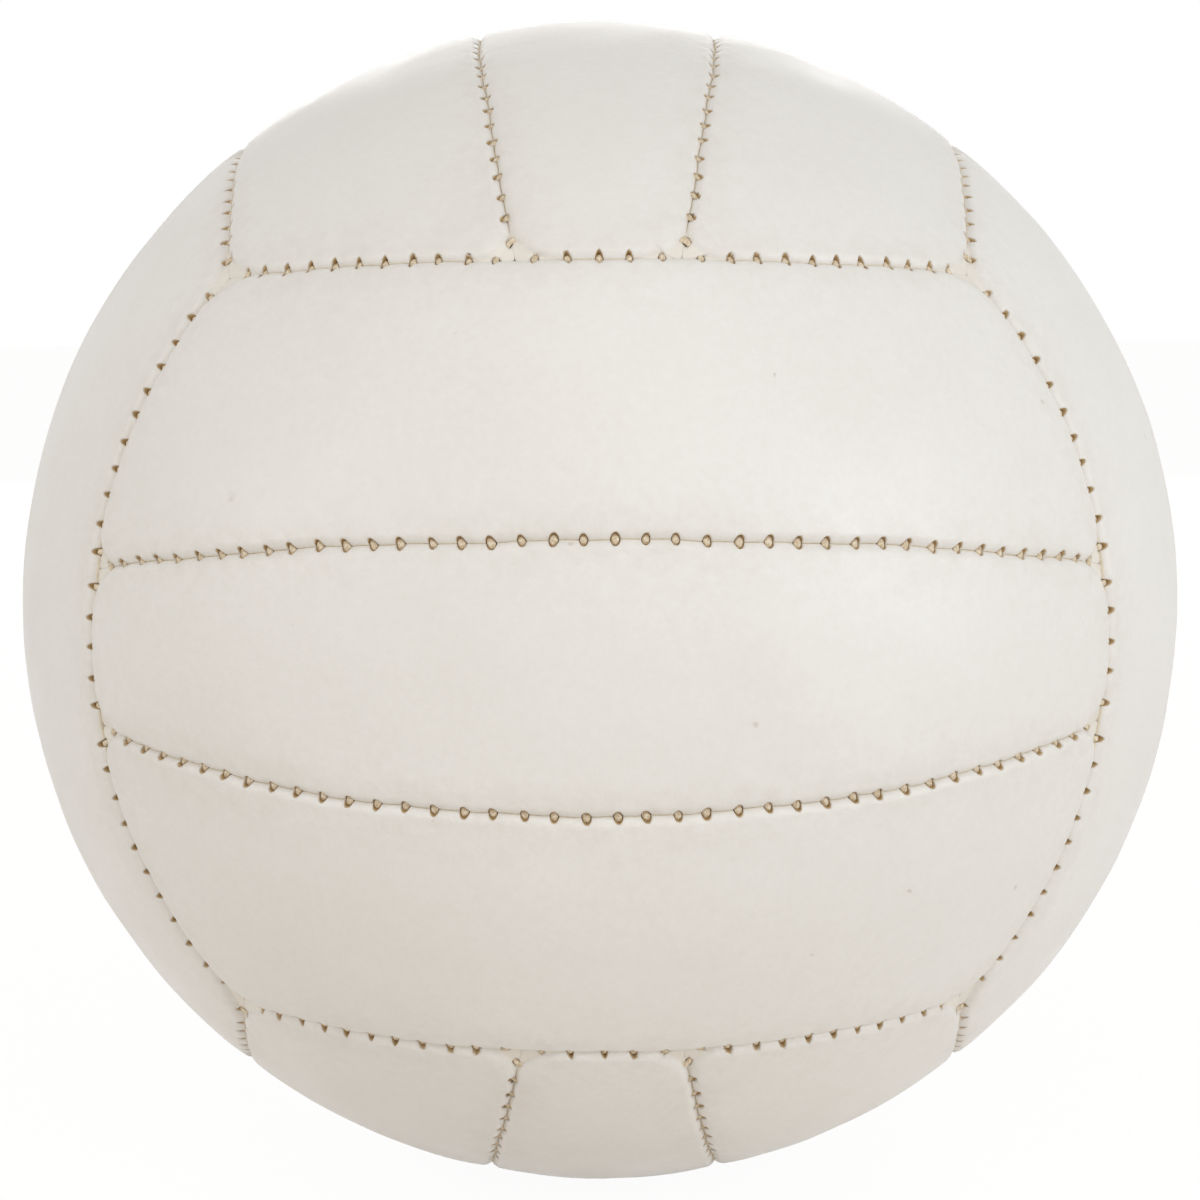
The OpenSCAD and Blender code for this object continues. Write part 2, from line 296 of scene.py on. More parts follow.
def soft_waves(points, seed):
    """Slow, shallow unevenness of the leather, in millimetres."""
    random = np.random.default_rng(seed)
    total = np.zeros(len(points))
    for length, height in LEATHER_WAVES:
        for _ in range(WAVES_OF_A_KIND):
            direction = unit(random.normal(size=3))
            phase = random.uniform(0, 2 * math.pi)
            total += height * np.sin(points @ direction * BALL_R * 2 * math.pi / length + phase)
    return total


# The depth of a punched hole, the share of its size over which its wall falls away, and how far and how
# wide its stitch pulls the leather down, along the seam as a share and away from it as a distance
HOLE_D = 1.5
HOLE_WALL = 0.3
PULL_D = 0.2
PULL_ALONG = 3
PULL_AWAY = 2.0


def hole_depth(near, reach):
    """How far a punched hole sinks the leather, and 0 to 1 for how much of it is hole."""
    inside = np.clip((1 - near - reach) / HOLE_WALL, 0, 1)
    inside = inside * inside * (3 - 2 * inside)
    return HOLE_D * inside, inside


def stitch_pull(near, inset):
    """How far a stitch pulls the leather down."""
    return PULL_D * np.exp(-near / PULL_ALONG) * math.exp(-inset / PULL_AWAY)


# Points along a side of a panel: their distances from each stitch, how near the side's end a stitch has
# none, and the least and largest step between points
STITCH_OFFSETS = [0, 0.16, 0.32, 0.46, 0.58, 0.7, 0.82, 0.98, 1.25, 1.65, 2.1]
STITCH_END_GAP = 0.3
LEAST_STEP = 0.09
LARGEST_STEP = 0.6


def places_along(spots, length):
    """Distances along a side for the points of its outline, close together at the stitches."""
    found = [0.0, length]
    for spot in spots[(spots > STITCH_END_GAP) & (spots < length - STITCH_END_GAP)]:
        for offset in STITCH_OFFSETS:
            found.extend([spot - offset, spot + offset])
    found = sorted(place for place in found if 0 <= place <= length)
    kept = [0.0]
    for place in found[1:]:
        if place - kept[-1] >= LEAST_STEP:
            kept.append(place)
    kept[-1] = length
    filled = [0.0]
    for low, high in zip(kept, kept[1:]):
        steps = max(1, math.ceil((high - low) / LARGEST_STEP))
        filled.extend(low + (high - low) * (step + 1) / steps for step in range(steps))
    return np.array(filled)


# The radius of a ring's corners, how it grows with the inset and its limit, the inner points of a corner,
# the distance from a corner over which points are drawn together, and a share that is far from any hole
CORNER_R = 0.8
CORNER_GROWTH = 1.2
LARGEST_CORNER_R = 6.0
CORNER_SAMPLES = 8
CORNER_FADE = 26.0
NO_HOLE = 9.0


class Outline:
    """The outline of a panel, and rings inset from it with the same count of points."""

    def __init__(self, face, strip):
        self.sides = panel_sides(face, strip)
        self.middle = panel_middle(face, strip)
        self.base = self.ends(0.0, CORNER_R)
        self.lengths = []
        self.samples = []
        for (seam, sign), (start, stop) in zip(self.sides, self.base):
            length = abs(stop - start) * seam.radius
            spots = sign * (seam.stitches - start) * seam.radius
            self.lengths.append(length)
            self.samples.append(places_along(spots, length))

    def centre(self, index, inset):
        """Where two neighbouring seams meet when both are inset."""
        (one, sign_one), (two, sign_two) = self.sides[index], self.sides[(index + 1) % 4]
        first = math.cos(one.arc - sign_one * inset / BALL_R)
        second = math.cos(two.arc - sign_two * inset / BALL_R)
        shared = one.axis @ two.axis
        a = (first - second * shared) / (1 - shared ** 2)
        b = (second - first * shared) / (1 - shared ** 2)
        flat = a * one.axis + b * two.axis
        across = np.cross(one.axis, two.axis)
        rise = math.sqrt(max(0.0, 1 - flat @ flat)) / np.linalg.norm(across)
        return max((flat + rise * across, flat - rise * across), key=lambda p: p @ self.middle)

    def ends(self, inset, corner_r):
        """The turns at which each side starts and stops, between its rounded corners."""
        centres = [self.centre(i, inset + corner_r) for i in range(4)]
        return [(seam.turn_of(centres[index - 1]), seam.turn_of(centres[index]))
                for index, (seam, _) in enumerate(self.sides)]

    def side_turns(self, index, start, stop):
        """The turns of a side's points, drawn together near its ends to lie between a start and a stop."""
        seam, sign = self.sides[index]
        base_start, base_stop = self.base[index]
        lead = sign * (start - base_start) * seam.radius
        trail = sign * (base_stop - stop) * seam.radius
        length = self.lengths[index]
        fade = min(length / 2, CORNER_FADE)
        place = self.samples[index]
        moved = place + lead * np.clip(1 - place / fade, 0, 1)
        moved = moved - trail * np.clip(1 - (length - place) / fade, 0, 1)
        return base_start + sign * moved / seam.radius

    def ring(self, inset):
        """A ring's points, their distances from the rounded outline and their shares of the nearest hole."""
        corner_r = min(CORNER_R + CORNER_GROWTH * inset, LARGEST_CORNER_R)
        ends = self.ends(inset, corner_r)
        points, insets, near, reach = [], [], [], []
        for index, (seam, sign) in enumerate(self.sides):
            turns = self.side_turns(index, *ends[index])
            polar = seam.arc - sign * inset / BALL_R + seam.wobble(turns) / BALL_R
            near_hole, hole_reach = seam.hole_shares(turns, sign, inset)
            corner = self.corner_points(index, inset, corner_r)
            no_hole = np.full(len(corner), NO_HOLE)
            points.extend([seam.points(turns, polar), corner])
            insets.extend([np.full(len(turns), inset), self.inset_of(corner)])
            near.extend([near_hole, no_hole])
            reach.extend([hole_reach, no_hole])
        points = np.concatenate(points)
        rounded = np.concatenate(insets) - self.corner_loss(points)
        return points, rounded, np.concatenate(near), np.concatenate(reach)

    def side_gaps(self, points):
        """Distances of points from each of the four seams, in millimetres."""
        gaps = []
        for seam, sign in self.sides:
            polar = np.arccos(np.clip(points @ seam.axis, -1, 1))
            gaps.append(sign * (seam.arc - polar) * BALL_R)
        return gaps

    def inset_of(self, points):
        """Distance of points from the nearest seam, in millimetres."""
        return np.min(self.side_gaps(points), axis=0)

    def corner_loss(self, points):
        """How much nearer points in the corners are to the rounded outline than to the seams."""
        gaps = self.side_gaps(points)
        loss = np.zeros(len(points))
        for one, two in zip(gaps, gaps[1:] + gaps[:1]):
            first = np.clip(ROUNDING - one, 0, ROUNDING)
            second = np.clip(ROUNDING - two, 0, ROUNDING)
            loss = np.maximum(loss, np.hypot(first, second) - np.maximum(first, second))
        return loss

    def corner_points(self, index, inset, corner_r):
        """The inner points of the arc that rounds a corner."""
        centre = self.centre(index, inset + corner_r)
        (one, sign_one), (two, sign_two) = self.sides[index], self.sides[(index + 1) % 4]
        first = one.points([one.turn_of(centre)], one.arc - sign_one * inset / BALL_R)[0]
        last = two.points([two.turn_of(centre)], two.arc - sign_two * inset / BALL_R)[0]
        out = unit(first - centre * (first @ centre))
        to = unit(last - centre * (last @ centre))
        swing = math.acos(max(-1.0, min(1.0, out @ to)))
        across = unit(to - out * (out @ to))
        angles = np.linspace(0, swing, CORNER_SAMPLES + 2)[1:-1]
        spread = np.cos(angles)[:, None] * out + np.sin(angles)[:, None] * across
        radius = corner_r / BALL_R
        return math.cos(radius) * centre + math.sin(radius) * spread


def ring_faces(start, count, rows, inward=False):
    """Quads between rows of points that lie in closed rings."""
    index = np.arange(count)
    after = (index + 1) % count
    first, second = (after, index) if inward else (index, after)
    faces = []
    for row in range(rows - 1):
        low = start + row * count
        high = low + count
        faces.append(np.stack([low + first, low + second, high + second, high + first], axis=1))
    return np.concatenate(faces).tolist()


# The grid of points in the middle of a panel: its step, the distance between its rows and its least gaps to
# the rings round it, as shares of the step, and a direction that no panel's middle has
GRID_STEP = 3.0
GRID_ROW = 0.866
GRID_EDGE_GAP = 0.55
GRID_HOLE_GAP = 0.5
CHART_HELPER = np.array([0.31, 0.17, 0.93])
# How near to each other the triangulation takes two points to be one
SAME_POINT = 1e-9


def chart(points, middle):
    """Flat coordinates of points round a panel's middle, for triangulating."""
    east = unit(np.cross(CHART_HELPER, middle))
    north = np.cross(middle, east)
    reach = points @ middle
    return np.stack([points @ east / reach, points @ north / reach], axis=1), east, north


def points_inside(points, loop):
    """Which points are inside a closed loop, by counting crossings."""
    found = np.zeros(len(points), bool)
    x, y = points[:, 0], points[:, 1]
    after = np.roll(loop, -1, axis=0)
    for (x1, y1), (x2, y2) in zip(loop, after):
        if y1 == y2:
            continue
        crosses = (y1 > y) != (y2 > y)
        found ^= crosses & (x < (x2 - x1) * (y - y1) / (y2 - y1) + x1)
    return found


def grid_inside(loop, step):
    """The points of a grid that are inside a loop and not too near to it."""
    low = loop.min(axis=0)
    high = loop.max(axis=0)
    columns = np.arange(low[0], high[0], step)
    grid = []
    for number, row in enumerate(np.arange(low[1], high[1], step * GRID_ROW)):
        shift = step / 2 if number % 2 else 0.0
        grid.append(np.stack([columns + shift, np.full(len(columns), row)], axis=1))
    grid = np.concatenate(grid)
    grid = grid[points_inside(grid, loop)]
    gap = np.min(np.linalg.norm(grid[:, None, :] - loop[None, ::2, :], axis=2), axis=1)
    return grid[gap > GRID_EDGE_GAP * step]


def fill_inside(ring, middle, hole_ring=None):
    """New points inside a ring and outside the ring of a hole, and the triangles that join them all.

    The triangles count the points of the ring first, then those of the hole and then the new ones.
    """
    flat, east, north = chart(ring, middle)
    step = GRID_STEP / BALL_R
    grid = grid_inside(flat, step)
    loops = [flat]
    if hole_ring is not None:
        hole = chart(hole_ring, middle)[0]
        centre = hole.mean(axis=0)
        radius = np.linalg.norm(hole - centre, axis=1).max()
        grid = grid[np.linalg.norm(grid - centre, axis=1) > radius + GRID_HOLE_GAP * step]
        loops.append(hole)
    edges = []
    start = 0
    for loop in loops:
        count = len(loop)
        edges.extend((start + i, start + (i + 1) % count) for i in range(count))
        start += count
    vertices = [Vector(place) for place in np.concatenate(loops + [grid])]
    placed, _, corners, sources, _, _ = geometry.delaunay_2d_cdt(vertices, edges, [], 0, SAME_POINT, True)
    numbers = np.array([found[0] if found else -1 for found in sources])
    corners = np.array([list(face) for face in corners])
    spots = np.array([list(place) for place in placed])[corners].mean(axis=1)
    kept = points_inside(spots, flat)
    if hole_ring is not None:
        kept &= ~points_inside(spots, hole)
    added = unit(grid[:, :1] * east + grid[:, 1:] * north + middle)
    return added, numbers[corners[kept]]


def new_piece(name, vertices, faces, values):
    """A mesh object from points in millimetres, with values kept on its points."""
    mesh = bpy.data.meshes.new(name)
    mesh.from_pydata((vertices * MM).tolist(), [], faces)
    for key, numbers in values.items():
        attribute = mesh.attributes.new(key, "FLOAT", "POINT")
        attribute.data.foreach_set("value", np.asarray(numbers, np.float32))
    mesh.shade_smooth()
    mesh.update()
    piece = bpy.data.objects.new(name, mesh)
    bpy.context.scene.collection.objects.link(piece)
    return piece


# The rim of the hole for the valve, as distances from its middle and depths
VALVE_RIM = [(7.4, 0.02), (6.4, 0.08), (5.7, 0.22), (5.25, 0.5), (5.0, 0.95), (4.9, 1.5), (4.85, 1.9)]
VALVE_SAMPLES = 72


def valve_rings():
    """Rings of points round the hole for the valve, from the leather's surface inwards."""
    angles = np.linspace(2 * math.pi, 0, VALVE_SAMPLES, endpoint=False)
    rings = []
    for distance, _ in VALVE_RIM:
        reach = distance / BALL_R
        ring = np.stack([reach * np.cos(angles), np.ones(VALVE_SAMPLES), reach * np.sin(angles)], axis=1)
        rings.append(unit(ring))
    return rings


# A distance from the seams at which they no longer colour the leather
FAR_FROM_SEAMS = 15.0


class PanelMesh:
    """The points and faces of a leather panel, and the values on its points that colour it."""

    def __init__(self, outline, seed):
        self.outline = outline
        self.seed = seed
        self.points, self.seams, self.holes = [], [], []
        self.faces = []
        self.total = 0

    def add(self, points, depth, seam, hole=0.0):
        """Adds points at a depth below the ball's surface, and gives the number of the first one."""
        count = len(points)
        first = self.total
        self.points.append(points * (BALL_R - np.broadcast_to(depth, count))[:, None])
        self.seams.append(np.broadcast_to(seam, count))
        self.holes.append(np.broadcast_to(hole, count))
        self.total += count
        return first

    def bridge(self, fine, coarse, inward=False):
        """Adds faces between a fine ring and a coarse one, given by the numbers of their first points."""
        stops = [*self.chosen[1:], self.around]
        for index, (start, stop) in enumerate(zip(self.chosen, stops)):
            row = [fine + i % self.around for i in range(start, stop + 1)]
            ends = [coarse + (index + 1) % len(self.chosen), coarse + index]
            self.faces.append(row[::-1] + ends[::-1] if inward else row + ends)

    def coarse_ring(self, inset):
        """The points of a coarse ring, and their distances from the rounded outline."""
        points, rounded, _, _ = self.outline.ring(inset)
        return points[self.chosen], rounded[self.chosen]

    def waves(self, points, inset):
        """The unevenness of the leather, which fades out at the seams."""
        return soft_waves(points, self.seed) * min(1, inset / LEATHER_WAVE_FADE)

    def add_edge(self):
        """Adds the wall of the panel and its rolled edge with the punched holes, in fine rings."""
        foot, rounded, near, reach = self.outline.ring(WALL_INSET)
        self.around = len(foot)
        self.chosen = np.arange(0, self.around, COARSE_STEP)
        sunk, inside = hole_depth(near, reach)
        top = edge_depth(rounded) + sunk + stitch_pull(near, 0)
        for row, wall in enumerate(WALL_DEPTHS):
            depth = np.maximum(wall, top + WALL_STEP * (len(WALL_DEPTHS) - row))
            self.add(foot, depth, seam_distance(0.0, rounded), inside)
        for inset in FINE_INSETS:
            points, rounded, near, reach = self.outline.ring(inset)
            sunk, inside = hole_depth(near, reach)
            depth = edge_depth(rounded) + sunk + stitch_pull(near, inset) - self.waves(points, inset)
            self.last_fine = self.add(points, depth, seam_distance(inset, rounded), inside)
        self.faces.extend(ring_faces(0, self.around, len(WALL_DEPTHS) + len(FINE_INSETS)))

    def add_slope(self):
        """Adds the coarse rings inside the rolled edge."""
        first = self.total
        for inset in COARSE_INSETS:
            points, rounded = self.coarse_ring(inset)
            depth = edge_depth(rounded) - self.waves(points, inset)
            self.last_coarse = self.add(points, depth, seam_distance(inset, rounded))
        self.inner_ring = points
        self.bridge(self.last_fine, first)
        self.faces.extend(ring_faces(first, len(points), len(COARSE_INSETS)))

    def add_middle(self, rim):
        """Adds the middle of the panel, round the rings of the valve's rim if it has one."""
        hole_ring = rim[0] if rim else None
        self.added, self.triangles = fill_inside(self.inner_ring, self.outline.middle, hole_ring)
        self.rim_starts = []
        for points, (_, depth) in zip(rim, VALVE_RIM):
            self.rim_starts.append(self.add(points, depth, FAR_FROM_SEAMS))
        gaps = self.outline.inset_of(self.added)
        depth = edge_depth(gaps) - soft_waves(self.added, self.seed)
        first = self.add(self.added, depth, np.minimum(gaps, FAR_FROM_SEAMS))
        numbers = self.numbers(self.last_coarse, self.rim_starts[:1], first)
        self.faces.extend(numbers[self.triangles].tolist())
        if rim:
            self.faces.extend(ring_faces(self.rim_starts[0], VALVE_SAMPLES, len(rim)))

    def add_back(self):
        """Adds the back of the leather, which closes the panel."""
        first = self.total
        points, _ = self.coarse_ring(BACK_INSET)
        rings = [(points, WALL_DEPTHS[0]), (points, BACK_DEPTH), (self.inner_ring, BACK_DEPTH)]
        for ring, depth in rings:
            inner = self.add(ring, depth, BACK_INSET)
        middle = self.add(self.added, BACK_DEPTH, BACK_INSET)
        self.bridge(0, first, inward=True)
        self.faces.extend(ring_faces(first, len(points), len(rings), inward=True))
        numbers = self.numbers(inner, self.rim_starts[-1:], middle)
        self.faces.extend(numbers[self.triangles][:, ::-1].tolist())

    def numbers(self, ring, rim, middle):
        """The numbers of the points that the triangles join, from the first ones of each group."""
        groups = [ring + np.arange(len(self.inner_ring))]
        groups.extend(start + np.arange(VALVE_SAMPLES) for start in rim)
        groups.append(middle + np.arange(len(self.added)))
        return np.concatenate(groups)


# The seeds of panels, which step from face to face, and how much higher those of their tones are
PANEL_SEED = 7
PANEL_SEED_STEP = 31
TONE_SEED_RISE = 900


def build_panel(face, strip):
    """A leather panel: rolled edges with punched holes, the smooth middle and the back."""
    panel = PanelMesh(Outline(face, strip), PANEL_SEED + PANEL_SEED_STEP * face + strip)
    panel.add_edge()
    panel.add_slope()
    has_valve = FACES[face] == "back" and strip == 0
    panel.add_middle(valve_rings() if has_valve else [])
    panel.add_back()
    tone = np.random.default_rng(panel.seed + TONE_SEED_RISE).uniform(-1, 1)
    values = {"seam": np.concatenate(panel.seams), "hole": np.concatenate(panel.holes)}
    values["tone"] = np.full(panel.total, tone)
    name = f"{FACES[face]}_{SIDES[face % 3][strip + 1]}"
    piece = new_piece(f"{name}_leather", np.concatenate(panel.points), panel.faces, values)
    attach(piece, "ball")
    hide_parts(f"{name}_panel")
    return piece


# Half the path of a stitch across its seam, as distances from the seam and depths below its top
STITCH_PATH = [(0.0, 0.0), (0.25, 0.03), (0.58, 0.17), (0.88, 0.45), (1.12, 0.9), (1.35, 1.6)]
# Half the thickness of the thread, the points round it, and how it narrows away from the seam
THREAD_HALF_T = 0.42
THREAD_ROUND = 10
THREAD_TAPER = 0.12


def stitch_mesh(seam, index):
    """Points and faces of one stitch, and how deep each point lies."""
    turn = seam.stitches[index]
    size = seam.sizes[index]
    lean = seam.leans[index]
    flare = seam.hole["flare"] * turn / seam.end
    polar = seam.arc + seam.wobble(np.array([turn]))[0] / BALL_R
    up = seam.points([turn], polar)[0]
    along = -math.sin(turn) * seam.middle + math.cos(turn) * seam.along
    across = np.cross(up, along)
    path = np.array([(-offset, drop) for offset, drop in STITCH_PATH[:0:-1]] + STITCH_PATH)
    path[:, 0] *= size
    path[:, 1] += seam.hole["thread_depth"]
    points, depths = [], []
    angles = np.linspace(2 * math.pi, 0, THREAD_ROUND, endpoint=False)
    for (offset, depth), (run, drop) in zip(path, unit(np.gradient(path, axis=0))):
        width = seam.hole["thread_half_w"] * size * (1.0 - THREAD_TAPER * abs(offset))
        for angle in angles:
            side = width * math.cos(angle) + lean * offset + flare * max(offset, 0)
            thick = THREAD_HALF_T * math.sin(angle)
            place = offset + thick * drop
            deep = depth - thick * run
            points.append(up * (BALL_R - deep) + across * place + along * side)
            depths.append(deep)
    count = len(path)
    faces = ring_faces(0, THREAD_ROUND, count)
    faces.append(list(range(THREAD_ROUND))[::-1])
    faces.append(list(range((count - 1) * THREAD_ROUND, count * THREAD_ROUND)))
    return points, faces, depths


def build_stitching(name, seams, node):
    """All stitches of some seams as one piece."""
    points, faces, depths = [], [], []
    for seam in seams:
        for index in range(len(seam.stitches)):
            start = len(points)
            some, joined, deep = stitch_mesh(seam, index)
            points.extend(some)
            depths.extend(deep)
            faces.extend([[start + i for i in one] for one in joined])
    piece = new_piece(name, np.array(points), faces, {"deep": depths})
    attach(piece, "ball")
    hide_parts(node)
    return piece


class Shader:
    """A material with a Principled shader and short ways to add nodes to it."""

    SOCKETS = {"colour": "Base Color", "rough": "Roughness", "normal": "Normal",
               "shine": "Specular IOR Level"}

    def __init__(self, name):
        self.material = bpy.data.materials.new(name)
        self.material.use_nodes = True
        self.tree = self.material.node_tree
        self.surface = self.tree.nodes["Principled BSDF"]

    def node(self, kind, **settings):
        made = self.tree.nodes.new(kind)
        for key, value in settings.items():
            setattr(made, key, value)
        return made

    def put(self, item, socket):
        """Sets a socket to a number or a colour, or links an output to it."""
        if isinstance(item, (int, float)):
            socket.default_value = item
        elif isinstance(item, tuple):
            socket.default_value = (*item, 1.0)
        else:
            self.tree.links.new(item, socket)

    def value(self, name):
        """A value that is kept on the points of the mesh."""
        return self.node("ShaderNodeAttribute", attribute_name=name).outputs["Fac"]

    def noise(self, scale, detail=2.0, roughness=0.5):
        """Noise with about so many patches to a metre."""
        made = self.node("ShaderNodeTexNoise")
        place = self.node("ShaderNodeTexCoord").outputs["Object"]
        items = {"Scale": scale, "Detail": detail, "Roughness": roughness, "Vector": place}
        for key, item in items.items():
            self.put(item, made.inputs[key])
        return made.outputs["Fac"]

    def spread(self, value, low, high, to_low, to_high):
        """Maps a value between two limits to between two others, and holds it there."""
        made = self.node("ShaderNodeMapRange")
        items = {"From Min": low, "From Max": high, "To Min": to_low, "To Max": to_high, "Value": value}
        for key, item in items.items():
            self.put(item, made.inputs[key])
        return made.outputs["Result"]

    def multiply(self, first, second):
        made = self.node("ShaderNodeMath", operation="MULTIPLY")
        self.put(first, made.inputs[0])
        self.put(second, made.inputs[1])
        return made.outputs["Value"]

    def mix(self, share, first, second):
        """Mixes two colours, with a share of the second one."""
        made = self.node("ShaderNodeMix", data_type="RGBA")
        sockets = {socket.identifier: socket for socket in made.inputs}
        self.put(share, sockets["Factor_Float"])
        self.put(first, sockets["A_Color"])
        self.put(second, sockets["B_Color"])
        return next(socket for socket in made.outputs if socket.identifier == "Result_Color")

    def bump(self, height, strength, distance, under=None):
        """A bumpy normal, over another one if that is given. The distance is in metres."""
        made = self.node("ShaderNodeBump")
        self.put(strength, made.inputs["Strength"])
        self.put(distance, made.inputs["Distance"])
        self.put(height, made.inputs["Height"])
        if under is not None:
            self.put(under, made.inputs["Normal"])
        return made.outputs["Normal"]

    def set(self, **items):
        for key, item in items.items():
            self.put(item, self.surface.inputs[self.SOCKETS[key]])


CREAM = (0.805, 0.782, 0.735)
PALE_CREAM = (0.825, 0.808, 0.768)
SEAM_GREY = (0.640, 0.590, 0.510)
SEAM_TAN = (0.800, 0.720, 0.580)
RAW_LEATHER = (0.500, 0.345, 0.165)
# Painted shade deep in a punched hole
HOLE_SHADE_BROWN = (0.135, 0.084, 0.034)
SPECK = (0.420, 0.350, 0.270)


def leather_material():
    """Coated leather: fine grain, a slow unevenness of tone, dirt that gathers along the seams, and painted
    shade beside the seams, in the corner valleys and deep in the punched holes.
    """
    shader = Shader("cream_leather")
    seam = shader.value("seam")
    slow = shader.noise(28.0, 3.0)
    colour = shader.mix(shader.spread(slow, 0.35, 0.65, 0.0, 1.0), CREAM, PALE_CREAM)
    tone = shader.spread(shader.value("tone"), -1.0, 1.0, 0.0, 0.5)
    colour = shader.mix(tone, colour, CREAM)
    # Dirt along the seams, which also paints shade: a grey band beside each seam that stands in for the
    # shading of its dip
    patchy = shader.spread(shader.noise(140.0, 4.0, 0.65), 0.35, 0.7, 0.25, 1.0)
    seam_dirt_and_shade = shader.multiply(shader.spread(seam, 0.2, 6.5, 0.24, 0.0), patchy)
    colour = shader.mix(seam_dirt_and_shade, colour, SEAM_GREY)
    smears = shader.spread(shader.noise(330.0, 4.0, 0.7), 0.42, 0.64, 0.0, 1.0)
    smeared = shader.multiply(smears, shader.spread(seam, 1.0, 11.0, 0.18, 0.045))
    colour = shader.mix(smeared, colour, SEAM_GREY)
    mottle = shader.spread(shader.noise(750.0, 4.0, 0.65), 0.35, 0.7, 0.0, 0.12)
    colour = shader.mix(mottle, colour, SEAM_GREY)
    # The tan joint along each seam. In the corner valleys the same tan is painted shade.
    line = shader.spread(seam, 0.02, 0.18, 1.0, 0.0)
    colour = shader.mix(line, colour, SEAM_TAN)
    # A hole's cut edge has the raw leather's own brown, with painted shade that darkens it deeper in
    hole = shader.value("hole")
    raw_edge_and_hole_shade = shader.mix(shader.spread(hole, 0.35, 0.9, 0.0, 1.0), RAW_LEATHER, HOLE_SHADE_BROWN)
    colour = shader.mix(shader.spread(hole, 0.02, 0.25, 0.0, 1.0), colour, raw_edge_and_hole_shade)
    dots = shader.spread(shader.noise(330.0, 1.0), 0.80, 0.84, 0.0, 0.35)
    colour = shader.mix(dots, colour, SPECK)
    grain = shader.bump(shader.noise(1500.0, 3.0, 0.6), 0.2, 0.0002)
    pores = shader.bump(shader.noise(420.0, 2.0), 0.12, 0.0004, grain)
    at_seams = shader.spread(seam, 0.5, 9.0, 1.0, 0.0)
    creases = shader.multiply(shader.noise(260.0, 4.0, 0.6), at_seams)
    creased = shader.bump(creases, 0.35, 0.0008, pores)
    rough = shader.spread(shader.noise(60.0, 3.0), 0.3, 0.7, 0.38, 0.50)
    shader.set(colour=colour, rough=rough, normal=creased, shine=0.5)
    return shader.material


TAN = (0.830, 0.740, 0.585)
DARK_TAN = (0.570, 0.440, 0.270)


def thread_material():
    """Waxed thread: twisted strands, with painted shade that darkens it where it goes into the leather."""
    shader = Shader("waxed_thread")
    strands = shader.noise(2600.0, 2.0)
    colour = shader.mix(shader.spread(strands, 0.35, 0.65, 0.0, 1.0), DARK_TAN, TAN)
    # Painted shade: the thread is darker the deeper it lies below the seam's top
    deep = shader.spread(shader.value("deep"), 1.3, 2.2, 0.0, 0.85)
    colour = shader.mix(deep, colour, DARK_TAN)
    normal = shader.bump(strands, 0.5, 0.0003)
    rough = shader.spread(strands, 0.3, 0.7, 0.5, 0.65)
    shader.set(colour=colour, rough=rough, normal=normal, shine=0.35)
    return shader.material


def plain_material(name, dark, light, scale, rough, bump):
    """A material with a fine, even unevenness of tone."""
    shader = Shader(name)
    speckle = shader.noise(scale, 3.0)
    colour = shader.mix(shader.spread(speckle, 0.3, 0.7, 0.0, 1.0), dark, light)
    roughness = shader.spread(speckle, 0.3, 0.7, rough - 0.05, rough + 0.05)
    shader.set(colour=colour, rough=roughness, normal=shader.bump(speckle, bump, 0.0003), shine=0.4)
    return shader.material


def lining_material():
    return plain_material("lining_cloth", dark=(0.50, 0.44, 0.33), light=(0.62, 0.56, 0.44),
                          scale=900.0, rough=0.85, bump=0.4)


def bladder_material():
    return plain_material("bladder_rubber", dark=(0.030, 0.028, 0.026), light=(0.050, 0.047, 0.044),
                          scale=300.0, rough=0.6, bump=0.1)


def valve_material():
    return plain_material("valve_rubber", dark=(0.055, 0.052, 0.050), light=(0.085, 0.080, 0.076),
                          scale=500.0, rough=0.5, bump=0.1)


def plug_material():
    return plain_material("plug_rubber", dark=(0.022, 0.021, 0.020), light=(0.040, 0.038, 0.036),
                          scale=500.0, rough=0.45, bump=0.1)


def dress(piece, material):
    piece.data.materials.clear()
    piece.data.materials.append(material)


def dress_ball():
    """Makes the panels and their stitching, and gives the pieces inside the ball their materials."""
    leather = leather_material()
    thread = thread_material()
    cloth = lining_material()
    for face, name in enumerate(FACES):
        for strip in (-1, 0, 1):
            dress(build_panel(face, strip), leather)
        for kind, seams in (("strip", strip_seams), ("edge", edge_seams)):
            both = [seams[face, -1], seams[face, 1]]
            dress(build_stitching(f"{name}_{kind}_thread", both, f"{name}_{kind}_stitching"), thread)
    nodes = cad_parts
    for name, node in nodes.items():
        if name.endswith("_lining"):
            dress(node, cloth)
    dress(nodes["bladder"], bladder_material())
    dress(nodes["valve_stem"], valve_material())
    dress(nodes["valve_plug"], plug_material())


# The camera at the photograph's angle: its distance in radii of the ball, the radius of the ball's outline
# and half the frame in pixels of the photograph, and where its view starts in metres
CAMERA_AWAY = 5.0
CAMERA_HEIGHT = math.radians(6.7)
CAMERA_ROLL = math.radians(-0.3)
OUTLINE_R_PX = 577.9
HALF_FRAME_PX = 600
CLIP_START = 0.01


def add_camera():
    camera = bpy.data.objects.new("camera", bpy.data.cameras.new("camera"))
    bpy.context.scene.collection.objects.link(camera)
    away = CAMERA_AWAY * BALL_R * MM
    camera.location = (0, -away * math.cos(CAMERA_HEIGHT), away * math.sin(CAMERA_HEIGHT))
    look = (-camera.location).to_track_quat("-Z", "Y").to_euler()
    look.rotate_axis("Z", CAMERA_ROLL)
    camera.rotation_euler = look
    limb = 1 / math.sqrt(CAMERA_AWAY ** 2 - 1)
    camera.data.angle = 2 * math.atan(limb / (OUTLINE_R_PX / HALF_FRAME_PX))
    camera.data.clip_start = CLIP_START
    bpy.context.scene.camera = camera


